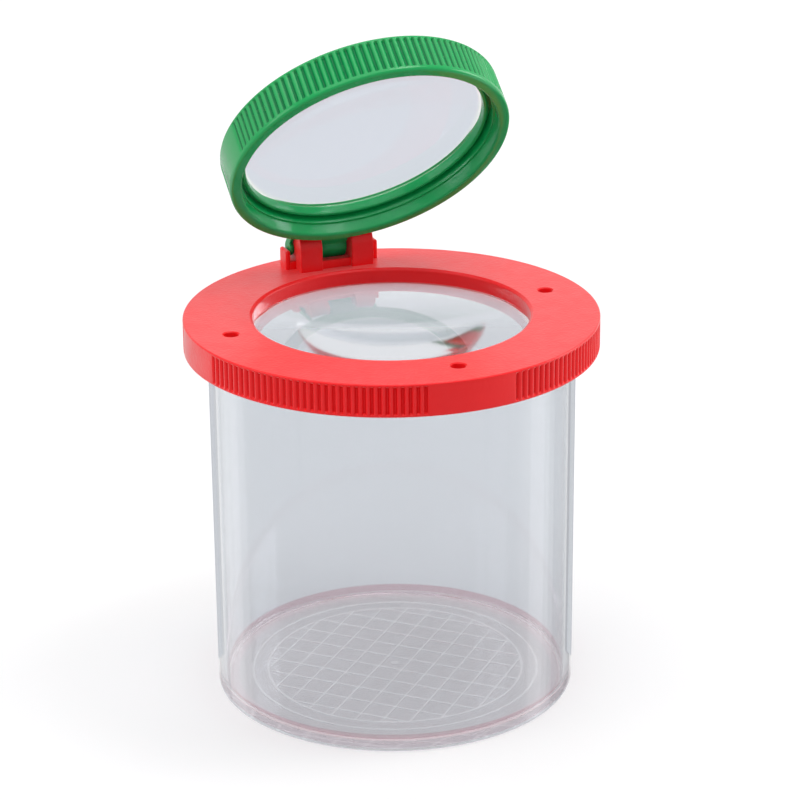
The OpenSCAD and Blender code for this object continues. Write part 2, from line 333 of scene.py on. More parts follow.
@dataclass(frozen=True)
class Ribs:
    """Grooves round a wall, in stretches that are given by their middle and their size."""

    pitch: float
    depth: float
    stretches: tuple[Point, ...]
    plain_step: float = 1.5
    slope: tuple[Point, ...] = ((0.0, 1.0), (0.22, 0.9), (0.42, 0.55), (0.62, 0.14), (0.85, 0.0))

    def stations(self) -> list[Point]:
        """Places round the circle with the depth of the groove there.

        Returns:
            Pairs of an angle and a share of the groove's depth.
        """
        half = self.pitch / 2
        steps = [(side * reach * half, share) for side in (-1, 1) for reach, share in self.slope[1:]]
        steps.append(self.slope[0])
        found: list[Point] = []
        for middle, size in self.stretches:
            count = int(size / self.pitch + TINY)
            for i in range(count):
                centre = middle + (i - (count - 1) / 2) * self.pitch
                found += [((centre + angle) % 360, share) for angle, share in steps]
        found.sort()
        full: list[Point] = []
        for i, (angle, share) in enumerate(found):
            after = found[(i + 1) % len(found)][0] + (360 if i + 1 == len(found) else 0)
            extra = int((after - angle) / self.plain_step)
            full.append((angle, share))
            full += [(angle + (after - angle) * (k + 1) / (extra + 1), 0.0) for k in range(extra)]
        return full


def even_stations(count: int) -> list[Point]:
    """Evenly spread places round the circle, without grooves."""
    return [(360 * i / count, 0.0) for i in range(count)]


def plain(points: list[Point]) -> Outline:
    """Outline without grooves from pairs of a radius and a height."""
    return [(r, z, False) for r, z in points]


def lifted(outline: Outline, rise: float) -> Outline:
    """Outline at another height."""
    return [(r, z + rise, grooved) for r, z, grooved in outline]


def rounded(corners: list[Corner], steps: int = 5) -> Outline:
    """Round the corners of an outline.

    Args:
        corners: Corners with their fillet radii.
        steps: Pieces of each round corner.

    Returns:
        The rounded outline.
    """
    points = []
    for i, corner in enumerate(corners):
        here = Vector((corner.r, corner.z))
        if corner.fillet == 0:
            points.append((corner.r, corner.z, corner.grooved))
            continue
        before, after = corners[i - 1], corners[(i + 1) % len(corners)]
        back = (Vector((before.r, before.z)) - here).normalized()
        on = (Vector((after.r, after.z)) - here).normalized()
        half = back.angle(on) / 2
        centre = here + (back + on).normalized() * corner.fillet / math.sin(half)
        start = here + back * corner.fillet / math.tan(half) - centre
        turn = start.angle_signed(here + on * corner.fillet / math.tan(half) - centre)
        for k in range(steps + 1):
            arm = start.copy()
            arm.rotate(Matrix.Rotation(-turn * k / steps, 2))
            points.append((centre.x + arm.x, centre.y + arm.y, corner.grooved))
    return points


def arc(radius: float, start: float, end: float, steps: int) -> list[Point]:
    """Points along an arc about its middle, from the first angle to the last."""
    turns = [math.radians(start + (end - start) * k / steps) for k in range(steps + 1)]
    return [(radius * math.cos(t), radius * math.sin(t)) for t in turns]


def new_piece(name: str, bm: bmesh.types.BMesh) -> Piece:
    """Turn a mesh in millimetres into an object in metres.

    Args:
        name: Name of the object.
        bm: The mesh, which is freed.

    Returns:
        The new object, linked to the scene.
    """
    bmesh.ops.recalc_face_normals(bm, faces=bm.faces)
    bmesh.ops.scale(bm, vec=(MM, MM, MM), verts=bm.verts)
    mesh = bpy.data.meshes.new(name)
    bm.to_mesh(mesh)
    bm.free()
    piece = bpy.data.objects.new(name, mesh)
    bpy.context.scene.collection.objects.link(piece)
    return piece


def lathe(name: str, outline: Outline, stations: list[Point], depth: float = 0.0,
          capped: bool = False) -> Piece:
    """Turn an outline round the Z axis.

    Args:
        name: Name of the object.
        outline: Section of the solid.
        stations: Angles with shares of the groove's depth.
        depth: Depth of the grooves.
        capped: Whether flat faces close the outline's two ends.

    Returns:
        A closed solid.
    """
    bm = bmesh.new()
    rows = []
    poles = {j: bm.verts.new((0, 0, z)) for j, (r, z, _) in enumerate(outline) if r == 0}
    for angle, share in stations:
        c, s = math.cos(math.radians(angle)), math.sin(math.radians(angle))
        row = []
        for j, (r, z, grooved) in enumerate(outline):
            reach = r - depth * share * grooved
            row.append(poles.get(j) or bm.verts.new((reach * c, reach * s, z)))
        rows.append(row)
    for i, row in enumerate(rows):
        after = rows[(i + 1) % len(rows)]
        for j in range(len(outline) - capped):
            k = (j + 1) % len(outline)
            corners = list(dict.fromkeys((row[j], after[j], after[k], row[k])))
            if len(corners) > 2:
                bm.faces.new(corners)
    if capped:
        for j in (0, len(outline) - 1):
            bm.faces.new([row[j] for row in rows])
    return new_piece(name, bm)


def disc(name: str, radius: float, low: float, high: float, segments: int) -> Piece:
    """A plain round solid on the Z axis, used to add or cut."""
    return lathe(name, plain([(radius, low), (radius, high)]), even_stations(segments), capped=True)


def prism(name: str, outline: list[Point], x_from: float, x_to: float, bevel: float = 0.0) -> Piece:
    """Draw an outline in Y and Z out along X, with softened edges.

    Args:
        name: Name of the object.
        outline: Points in Y and Z.
        x_from: Start along X.
        x_to: End along X.
        bevel: Width of the softened edges, or zero.

    Returns:
        A closed solid.
    """
    bm = bmesh.new()
    near = [bm.verts.new((x_from, y, z)) for y, z in outline]
    far = [bm.verts.new((x_to, y, z)) for y, z in outline]
    bm.faces.new(near)
    bm.faces.new(list(reversed(far)))
    for i in range(len(outline)):
        k = (i + 1) % len(outline)
        bm.faces.new((near[i], far[i], far[k], near[k]))
    bmesh.ops.recalc_face_normals(bm, faces=bm.faces)
    if bevel > 0:
        sharp = [edge for edge in bm.edges if edge.calc_face_angle(0) > math.radians(BEVEL_ANGLE)]
        bmesh.ops.bevel(bm, geom=sharp, offset=bevel, segments=BEVEL_STEPS, profile=0.5,
                        affect="EDGES", clamp_overlap=True)
    return new_piece(name, bm)


def change(piece: Piece, others: list[Piece], how: Change) -> Piece:
    """Add solids to a piece or cut them out, and delete them.

    Args:
        piece: The piece that changes.
        others: The solids that are used up.
        how: Whether to add or to cut.

    Returns:
        The piece.
    """
    bm = bmesh.new()
    for other in others:
        bm.from_mesh(other.data)
    bm.to_mesh(others[0].data)
    bm.free()
    modifier = piece.modifiers.new("change", "BOOLEAN")
    modifier.object = others[0]
    modifier.operation = how.value
    modifier.solver = "EXACT"
    modifier.use_self = how is Change.ADD and len(others) > 1
    bake_modifiers(piece)
    for other in others:
        bpy.data.objects.remove(other)
    drop_slivers(piece)
    return piece


def drop_slivers(piece: Piece) -> None:
    """Dissolve the faces without width and the idle points on edges that a Boolean can leave.

    Args:
        piece: The piece.
    """
    bm = bmesh.new()
    bm.from_mesh(piece.data)
    bmesh.ops.dissolve_degenerate(bm, dist=SLIVER * MM, edges=bm.edges[:])
    idle = [vert for vert in bm.verts if len(vert.link_edges) == 2]
    bmesh.ops.dissolve_limit(bm, angle_limit=math.radians(IDLE_ANGLE), verts=idle, edges=[])
    bm.to_mesh(piece.data)
    bm.free()


def bake_modifiers(piece: Piece) -> None:
    """Replace a piece's mesh by the one that its modifiers give.

    Args:
        piece: The piece, whose materials are set later.
    """
    graph = bpy.context.evaluated_depsgraph_get()
    mesh = bpy.data.meshes.new_from_object(piece.evaluated_get(graph))
    mesh.materials.clear()
    piece.modifiers.clear()
    piece.data = mesh
    mesh.name = piece.name


def smooth(piece: Piece) -> None:
    """Shade a piece smooth between its sharp edges, with flat faces kept flat.

    Args:
        piece: The piece.
    """
    piece.data.shade_smooth()
    piece.data.set_sharp_from_angle(angle=math.radians(SMOOTH_ANGLE))
    modifier = piece.modifiers.new("weighted", "WEIGHTED_NORMAL")
    modifier.keep_sharp = True
    modifier.weight = FLAT_FACE_WEIGHT
    bake_modifiers(piece)


def mark_grooves(piece: Piece, radius: float, depth: float, low: float, high: float) -> None:
    """Give the bottoms of a wall's grooves the second material, whose darker colour is painted shade.

    Args:
        piece: The piece, with its axis on Z.
        radius: Radius of the ribbed wall.
        depth: Depth of the grooves.
        low: Lowest height of the grooves.
        high: Highest height of the grooves.
    """
    least, most = (depth * share for share in GROOVE_SHADE_SHARES)
    for face in piece.data.polygons:
        middle = face.center / MM
        sunk = radius - middle.xy.length
        outside = face.normal.xy.dot(face.center.xy) > 0
        face.material_index = int(outside and low < middle.z < high and least < sunk < most)


def dress(piece: Piece, node: str, body: str, slot: str, *finishes: MouldedPlastic | ClearPlastic) -> None:
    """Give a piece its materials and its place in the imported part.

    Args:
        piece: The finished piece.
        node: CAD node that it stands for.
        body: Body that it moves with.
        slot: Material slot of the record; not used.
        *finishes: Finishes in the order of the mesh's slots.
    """
    for finish in finishes:
        piece.data.materials.append(finish.material())
    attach(piece, body)
    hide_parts(node)
    log.info("%s stands for %s with %d faces", piece.name, node, len(piece.data.polygons))


# The jar's pieces


@dataclass
class Lens:
    """A magnifying lens with two domed faces and a flat margin."""

    name: str
    radius: float
    edge: float
    rise: float
    dome_radius: float
    base_z: float
    fillet: float = 0.15
    sharp_angle: float = 20.0
    rings: int = 40
    segments: int = 192

    def cap(self, r: float) -> float:
        """Height of the dome at a radius."""
        ball = (self.dome_radius**2 + self.rise**2) / (2 * self.rise)
        return math.sqrt(ball**2 - r**2) - (ball - self.rise)

    def build(self) -> Piece:
        """Make the lens.

        Returns:
            The lens, lying level with its axis on Z. Its margin has the second material.
        """
        across = [self.dome_radius * i / self.rings for i in range(self.rings + 1)]
        low = plain([(r, -self.cap(r) if r < self.dome_radius else 0.0) for r in across])
        high = plain([(r, self.edge - z) for r, z, _ in reversed(low)])
        rim = rounded([
            Corner(self.dome_radius, 0),
            Corner(self.radius, 0, self.fillet),
            Corner(self.radius, self.edge, self.fillet),
            Corner(self.dome_radius, self.edge),
        ])
        outline = lifted(low + rim[1:-1] + high, self.base_z)
        piece = lathe(self.name, outline, even_stations(self.segments))
        piece.data.shade_smooth()
        piece.data.set_sharp_from_angle(angle=math.radians(self.sharp_angle))
        for face in piece.data.polygons:
            face.material_index = int(face.center.xy.length > self.dome_radius * MM)
        return piece


@dataclass
class Cup:
    """The clear cup with the measuring grid in its floor."""

    wall_r: float = 35.4
    wall: float = 1.6
    floor: float = 1.5
    floor_fillet: float = 1.2
    foot_fillet: float = 0.5
    flange: float = 2.4
    flange_t: float = 1.6
    flange_fillets: tuple[float, float, float] = (0.6, 0.3, 0.2)
    mouth_fillet: float = 0.4
    fillet_steps: int = 6
    line_w: float = 0.5
    line_h: float = 0.06
    line_sunk: float = 0.3
    grid_pitch: float = 5.0
    circle_inset: float = 5.3
    circle_band: float = 3.0
    grid_turn: float = 45.0
    dot_r: float = 0.8
    dot_segments: int = 32
    # Width and height of the floor's corner band that gets the painted red reflection
    glow_w: float = 2.4
    glow_h: float = 0.5
    foot_low: float = 0.9
    foot_h: float = 2.9
    segments: int = 256

    @property
    def inner_r(self) -> float:
        """Radius of the inner wall."""
        return self.wall_r - self.wall

    def outline(self) -> Outline:
        """Outline of foot, wall, flange and floor.

        Returns:
            Points from the foot's middle round to the floor's middle.
        """
        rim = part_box("jar_cup")[1].z / MM
        flange_r = self.wall_r + self.flange
        under = rim - self.flange_t
        neck, lower, upper = self.flange_fillets
        return rounded([
            Corner(self.wall_r - self.glow_w, 0),
            Corner(self.wall_r, 0, self.foot_fillet),
            Corner(self.wall_r, self.foot_low),
            Corner(self.wall_r, self.foot_h),
            Corner(self.wall_r, under - self.flange / 2, neck),
            Corner(flange_r, under, lower),
            Corner(flange_r, rim, upper),
            Corner(self.inner_r, rim, self.mouth_fillet),
            Corner(self.inner_r, self.floor + self.floor_fillet + self.glow_h),
            Corner(self.inner_r, self.floor, self.floor_fillet),
            Corner(self.inner_r - self.glow_w, self.floor),
        ], self.fillet_steps)

    def ridge(self, middle: float) -> list[Point]:
        """Section of a grid line, a little sunk in the floor, as distances and heights."""
        half, low, high = self.line_w / 2, self.floor - self.line_sunk, self.floor + self.line_h
        return [(middle - half, low), (middle + half, low), (middle + half, high), (middle - half, high)]

    def build(self) -> Piece:
        """Make the cup.

        Returns:
            The cup with its grid, whose faces have the materials of their zones.
        """
        round_cup = even_stations(self.segments)
        piece = lathe("clear_cup", self.outline(), round_cup, capped=True)
        outer = self.inner_r - self.circle_inset
        inner = outer - self.circle_band
        count = math.ceil(inner / self.grid_pitch)
        offsets = [(i + 0.5) * self.grid_pitch for i in range(-count, count)]
        inside = [offset for offset in offsets if abs(offset) < inner]
        parts = []
        for turn in (self.grid_turn, self.grid_turn + 90):
            for offset in inside:
                half = math.sqrt(inner**2 - offset**2)
                parts.append(prism("strip", self.ridge(offset), -half, half))
                parts[-1].data.transform(Matrix.Rotation(math.radians(turn), 4, "Z"))
        parts += [lathe("hoop", plain(self.ridge(radius)), round_cup) for radius in (inner, outer)]
        parts.append(disc("dot", self.dot_r, self.floor - self.line_sunk, self.floor + self.line_h,
                          self.dot_segments))
        change(piece, parts, Change.ADD)
        smooth(piece)
        zones = list(Zone)
        for face in piece.data.polygons:
            face.material_index = zones.index(self.zone(face.center / MM))
        return piece

    def zone(self, middle: Vector) -> Zone:
        """Which zone of the cup a face is in; the foot and floor corner zones hold painted red reflection.

        Args:
            middle: Middle of the face in millimetres.

        Returns:
            The zone.
        """
        r, z = middle.xy.length, middle.z
        if r > self.inner_r + self.wall / 4:
            return Zone.FOOT if self.foot_low < z < self.foot_h else Zone.WALL
        if z < self.floor / 2:
            return Zone.UNDER
        if r > self.inner_r - self.floor_fillet:
            return Zone.CORNER if z < self.floor + self.floor_fillet + self.glow_h else Zone.WALL
        if r > self.inner_r - self.glow_w:
            return Zone.CORNER_EDGE
        return Zone.GRID if z > self.floor + self.line_h / 4 else Zone.FLOOR


@dataclass
class Hinge:
    """Sizes that the lid's seat and the ring's arms share, about the axle."""

    ear_r: float = 5.5
    ear_w: float = 4.6
    ears_apart: float = 6.3
    ear_h: float = 8.2
    ear_back: float = 2.7
    axle_r: float = 1.2
    axle_gap: float = 0.08
    mouth_half: float = 0.9
    mouth_bevel: float = 0.4
    side_gap: float = 0.2
    knuckle_r: float = 3.0
    knuckle_gap: float = 0.87
    web_r: float = 1.6
    web_t: float = 0.7
    web_low: float = 3.5
    arm_gap: float = 0.3
    cheek_t: float = 1.0
    cheek_h: float = 3.9
    cheek_front: float = 2.4
    cheek_depth: float = 3.9
    cheek_bevel: float = 0.42
    sill_t: float = 1.9
    sill_h: float = 1.7
    sill_back: float = 0.9
    side_sill_h: float = 1.6
    side_sill_t: float = 1.0
    sunk: float = 1.0
    bevel: float = 0.22
    fine_bevel: float = 0.12
    bore_steps: int = 40
    ear_steps: int = 14
    arm_steps: int = 36
    axle_sides: int = 48

    def __post_init__(self) -> None:
        """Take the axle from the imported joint, and work out heights and distances from the middle."""
        joint = next(j for j in frame["joints"] if j["name"] == "magnifier_swing")
        self.y, self.z = (value / MM for value in joint["pos_m"][1:])
        self.open_angle: float = -joint["range_deg"][0]
        self.rise: float = self.knuckle_r + self.knuckle_gap
        self.lid_top: float = self.z - self.rise
        self.ear_out: float = self.ears_apart / 2 + self.ear_w
        self.web_x: float = self.ear_out + self.side_gap
        self.axle_half: float = self.web_x + self.web_t

    def drawn(self, name: str, outline: list[Point], x_from: float, x_to: float, bevel: float) -> Piece:
        """Draw an outline about the axle out along X."""
        return prism(name, [(self.y + y, self.z + z) for y, z in outline], x_from, x_to, bevel)

    def ear_outline(self) -> list[Point]:
        """Outline of an ear, open at the back where the axle snaps in.

        Returns:
            Points about the axle.
        """
        bore = self.axle_r + self.axle_gap
        lip = math.degrees(math.asin(self.mouth_half / bore))
        top = self.ear_h - self.rise
        foot = -self.rise - self.sunk
        flare = self.mouth_half + self.mouth_bevel
        front = math.degrees(math.asin(top / self.ear_r))
        return [
            (self.ear_back, foot),
            (self.ear_back, -flare),
            (self.ear_back - self.mouth_bevel, -self.mouth_half),
            *arc(bore, -lip, lip - 360, self.bore_steps),
            (self.ear_back - self.mouth_bevel, self.mouth_half),
            (self.ear_back, flare),
            (self.ear_back, top),
            *arc(self.ear_r, 180 - front, 180, self.ear_steps),
            (-self.ear_r, foot),
        ]

    def block(self, start: float, depth: float, height: float) -> list[Point]:
        """Outline about the axle of an upright block that stands on the lid."""
        foot, top = -self.rise - self.sunk, height - self.rise
        return [(start, foot), (start + depth, foot), (start + depth, top), (start, top)]

    def seat(self) -> list[Piece]:
        """Make ears, sills and cheeks.

        Returns:
            Solids to add to the lid.
        """
        inner = self.ears_apart / 2
        sill_x = self.axle_half + 2 * self.side_gap
        cheek_x = self.axle_half + self.side_gap
        sill = self.block(self.sill_back - self.ear_r, self.sill_t, self.sill_h)
        side_sill = self.block(-self.cheek_front, self.side_sill_t, self.side_sill_h)
        cheek = self.block(-self.cheek_front, self.cheek_depth, self.cheek_h)
        paired = (
            ("ear", self.ear_outline(), inner, self.ear_out, self.bevel),
            ("side_sill", side_sill, self.ear_out - self.sunk, sill_x, self.bevel),
            ("cheek", cheek, cheek_x, cheek_x + self.cheek_t, self.cheek_bevel),
        )
        return [
            self.drawn("sill", sill, -inner - self.sunk, inner + self.sunk, self.bevel),
            *(self.drawn(name, outline, side.value * near, side.value * far, bevel)
              for side in Side for name, outline, near, far, bevel in paired),
        ]

    def arm_outline(self, end_r: float, height: float, reach: float) -> list[Point]:
        """Outline of a round end with an arm towards the ring.

        Args:
            end_r: Radius of the round end.
            height: Height of the sill that the arm clears when closed.
            reach: Length of the arm from the axle.

        Returns:
            Points about the axle.
        """
        low = height + self.arm_gap - self.rise
        start = 180 + math.degrees(math.asin(-low / end_r)) if low > -end_r else 270
        return [(-reach, low), *arc(end_r, start, 360 + 90, self.arm_steps), (-reach, end_r)]

    def arms(self, reach: float) -> list[Piece]:
        """Make knuckle, webs and axle.

        Args:
            reach: Length of the arms from the axle.

        Returns:
            Solids to add to the ring.
        """
        half = self.ears_apart / 2 - self.side_gap
        knuckle = self.arm_outline(self.knuckle_r, self.sill_h, reach)
        web = self.arm_outline(self.web_r, self.web_low, reach)
        axle = arc(self.axle_r, 0, 360 - 360 / self.axle_sides, self.axle_sides - 1)
        return [
            self.drawn("knuckle", knuckle, -half, half, self.bevel),
            self.drawn("axle", axle, -self.axle_half, self.axle_half, self.fine_bevel),
            *(self.drawn("web", web, side.value * self.web_x, side.value * self.axle_half, self.fine_bevel)
              for side in Side),
        ]


@dataclass
class Lid:
    """The red lid with its window, ribbed edge, air holes and hinge seat."""

    hinge: Hinge
    radius: float = 39.95
    skirt_in_r: float = 38.1
    top_t: float = 2.2
    skirt_h: float = 6.3
    skirt_fillets: Point = (0.2, 0.25)
    window_r: float = 26.6
    window_depth: float = 3.0
    window_fillet: float = 0.15
    chamfer_w: float = 0.55
    chamfer_h: float = 0.4
    chamfer_fillet: float = 0.3
    ledge: float = 1.0
    lens_gap: float = 0.1
    lens_edge: float = 2.0
    lens_rise: float = 3.2
    lens_margin: float = 0.4
    collar: float = 1.6
    collar_fillets: Point = (0.1, 0.3)
    bead: float = 0.25
    bead_fillet: float = 0.08
    bead_flat: float = 0.05
    edge_fillet: float = 0.3
    hole_r: float = 1.5
    hole_at: float = 32.4
    hole_turns: tuple[float, ...] = (-90, 0, 180)
    hole_flare: float = 0.2
    hole_over: float = 0.5
    hole_segments: int = 48
    plain_arc: float = 23.0
    lip: float = 0.4
    ribs_run: float = 0.3
    ribs_pitch: float = 2.0
    ribs_depth: float = 0.5

    def outline(self) -> Outline:
        """Outline of top, edge and lens collar.

        Returns:
            Points round the section.
        """
        pocket = self.window_r + self.ledge + self.lens_gap
        bead_z = -self.window_depth - self.lens_edge - self.lens_gap
        end_z = bead_z - 2 * self.bead - self.edge_fillet + self.bead_flat
        corners = [
            Corner(self.window_r + self.chamfer_w, 0, self.window_fillet),
            Corner(self.window_r, -self.chamfer_h, self.chamfer_fillet),
            Corner(self.window_r, -self.window_depth, self.window_fillet),
            Corner(pocket, -self.window_depth),
            Corner(pocket, bead_z),
            Corner(pocket - self.bead, bead_z - self.bead, self.bead_fillet),
            Corner(pocket, bead_z - 2 * self.bead),
            Corner(pocket, end_z, self.collar_fillets[0]),
            Corner(pocket + self.collar, end_z, self.collar_fillets[1]),
            Corner(pocket + self.collar, -self.top_t),
            Corner(self.skirt_in_r, -self.top_t),
            Corner(self.skirt_in_r, -self.skirt_h, self.skirt_fillets[0]),
            Corner(self.radius, -self.skirt_h, self.skirt_fillets[1]),
            Corner(self.radius, -self.skirt_h + self.lip),
            Corner(self.radius, -self.skirt_h + self.lip + self.ribs_run, grooved=True),
            Corner(self.radius, -self.lip - self.ribs_run, grooved=True),
            Corner(self.radius, -self.lip),
            Corner(self.radius, 0, self.edge_fillet),
        ]
        return lifted(rounded(corners), self.hinge.lid_top)

    def build(self) -> Piece:
        """Make the lid.

        Returns:
            One solid with grooves, holes and hinge seat.
        """
        stretch = 90 - self.plain_arc
        ribs = Ribs(self.ribs_pitch, self.ribs_depth, tuple((45 + 90 * i, stretch) for i in range(4)))
        piece = lathe("red_lid", self.outline(), ribs.stations(), ribs.depth)
        change(piece, [self.hole(turn) for turn in self.hole_turns], Change.CUT)
        seat = self.hinge.seat()
        change(piece, [change(seat[0], seat[1:], Change.ADD)], Change.ADD)
        smooth(piece)
        top = self.hinge.lid_top
        # The bottoms of the lid's grooves get the painted shade
        mark_grooves(piece, self.radius, ribs.depth, top - self.skirt_h, top - self.lip)
        return piece

    def hole(self, turn: float) -> Piece:
        """Cutter for one air hole, wider at both mouths.

        Args:
            turn: Direction from the middle.

        Returns:
            A solid to cut out of the lid.
        """
        top, low = self.hinge.lid_top, self.hinge.lid_top - self.top_t
        mouth_r = self.hole_r + self.hole_flare + self.hole_over
        outline = plain([
            (mouth_r, low - self.hole_over),
            (self.hole_r, low + self.hole_flare),
            (self.hole_r, top - self.hole_flare),
            (mouth_r, top + self.hole_over),
        ])
        cutter = lathe("hole", outline, even_stations(self.hole_segments), capped=True)
        angle, reach = math.radians(turn), self.hole_at * MM
        cutter.data.transform(Matrix.Translation((reach * math.cos(angle), reach * math.sin(angle), 0)))
        return cutter

    def lens(self) -> Lens:
        """Sizes of the large lens."""
        return Lens("lid_lens_glass", self.window_r + self.ledge, self.lens_edge, self.lens_rise,
                    self.window_r - self.lens_margin, self.hinge.lid_top - self.window_depth - self.lens_edge)


@dataclass
class SwingRing:
    """The green ribbed ring with the small lens, drawn closed and then swung open."""

    hinge: Hinge
    radius: float = 27.85
    gap: float = 0.2
    wall: float = 2.25
    rim_fillets: Point = (0.5, 0.6)
    step_depth: float = 2.6
    step_w: float = 0.4
    step_fillets: Point = (0.12, 0.1)
    collar_depth: float = 3.8
    collar: float = 0.8
    collar_fillet: float = 0.3
    groove_w: float = 0.6
    seat_depth: float = 5.6
    seat_fillet: float = 0.12
    web: float = 0.7
    ledge: float = 1.1
    lens_gap: float = 0.1
    lens_edge: float = 1.6
    lens_rise: float = 2.4
    lens_margin: float = 0.4
    bead: float = 0.25
    bead_fillet: float = 0.08
    top_lip: float = 0.3
    top_fillets: Point = (0.6, 0.15)
    lip: float = 1.0
    ribs_run: float = 0.35
    ribs_end: Point = (0.32, 0.02)
    ribs_pitch: float = 3.0
    ribs_depth: float = 0.5
    plain_side: float = 24.0
    plain_back: float = 44.0
    plug_reach: Point = (-5.0, 12.0)
    plug_segments: int = 256

    def __post_init__(self) -> None:
        """Work out the closed ring's place, the heights above its rim and the lens opening."""
        self.base_z: float = self.hinge.lid_top + self.gap
        self.bead_z: float = self.seat_depth + self.lens_edge + self.lens_gap
        self.height: float = self.bead_z + 2 * self.bead + self.top_lip
        self.opening_r: float = self.radius - self.wall - self.step_w - self.groove_w - self.collar

    def outline(self) -> Outline:
        """Section of the ring, rim down.

        Returns:
            Points round the section.
        """
        inner = self.radius - self.wall
        outer_groove = inner - self.step_w
        inner_groove = outer_groove - self.groove_w
        pocket = self.opening_r + self.ledge + self.lens_gap
        bead_z, height = self.bead_z, self.height
        side_top = height - self.top_fillets[0]
        corners = [
            Corner(inner, 0, self.rim_fillets[0]),
            Corner(self.radius, 0, self.rim_fillets[1]),
            Corner(self.radius, self.lip),
            Corner(self.radius, self.lip + self.ribs_run, grooved=True),
            Corner(self.radius, side_top - self.ribs_end[0], grooved=True),
            Corner(self.radius, side_top - self.ribs_end[1]),
            Corner(self.radius, height, self.top_fillets[0]),
            Corner(pocket, height, self.top_fillets[1]),
            Corner(pocket, bead_z + 2 * self.bead),
            Corner(pocket - self.bead, bead_z + self.bead, self.bead_fillet),
            Corner(pocket, bead_z),
            Corner(pocket, self.seat_depth),
            Corner(self.opening_r, self.seat_depth, self.seat_fillet),
            Corner(self.opening_r, self.collar_depth, self.collar_fillet),
            Corner(inner_groove, self.collar_depth, self.collar_fillet),
            Corner(inner_groove, self.seat_depth - self.web),
            Corner(outer_groove, self.seat_depth - self.web),
            Corner(outer_groove, self.step_depth, self.step_fillets[0]),
            Corner(inner, self.step_depth, self.step_fillets[1]),
        ]
        return lifted(rounded(corners), self.base_z)

    def swing(self, piece: Piece) -> None:
        """Turn a piece about the axle to where the ring stands open.

        Args:
            piece: The piece, drawn closed.
        """
        axle = Vector((0, self.hinge.y, self.hinge.z)) * MM
        turn = Matrix.Rotation(math.radians(-self.hinge.open_angle), 4, "X")
        piece.data.transform(Matrix.Translation(axle) @ turn @ Matrix.Translation(-axle))

    def build(self) -> Piece:
        """Make the ring with its arms and axle.

        Returns:
            One solid, standing open, whose grooves leave both sides and the hinge's back plain.
        """
        side = 90 - self.plain_side / 2 - self.plain_back / 2
        middle = self.plain_side / 2 + side / 2
        stretches = ((-90, 180 - self.plain_side), (middle, side), (180 - middle, side))
        ribs = Ribs(self.ribs_pitch, self.ribs_depth, stretches)
        piece = lathe("green_ring", self.outline(), ribs.stations(), ribs.depth)
        parts = self.hinge.arms(self.hinge.y - self.radius + self.wall)
        arms = change(parts[0], parts[1:], Change.ADD)
        low, high = (self.base_z + reach for reach in self.plug_reach)
        plug = disc("plug", self.radius - self.wall / 2, low, high, self.plug_segments)
        change(piece, [change(arms, [plug], Change.CUT)], Change.ADD)
        smooth(piece)
        ribs_top = self.base_z + self.height - self.top_fillets[0]
        # The bottoms of the ring's grooves get the painted shade
        mark_grooves(piece, self.radius, ribs.depth, self.base_z + self.lip, ribs_top)
        self.swing(piece)
        return piece

    def lens(self) -> Lens:
        """Sizes of the small lens."""
        return Lens("swing_lens_glass", self.opening_r + self.ledge, self.lens_edge, self.lens_rise,
                    self.opening_r - self.lens_margin, self.base_z + self.seat_depth)


# Studio


@dataclass(frozen=True)
class Lamp:
    """A square soft lamp that faces the jar, with its power in watts."""

    name: str
    place: Place
    size: float
    power: float

    def build(self) -> None:
        """Hang the lamp."""
        light = bpy.data.lights.new(self.name, "AREA")
        light.energy = self.power
        light.size = self.size
        lamp = bpy.data.objects.new(self.name, light)
        lamp.location = self.place
        aim = Vector(LAMP_AIM) - Vector(self.place)
        lamp.rotation_euler = aim.to_track_quat("-Z", "Y").to_euler()
        bpy.context.scene.collection.objects.link(lamp)


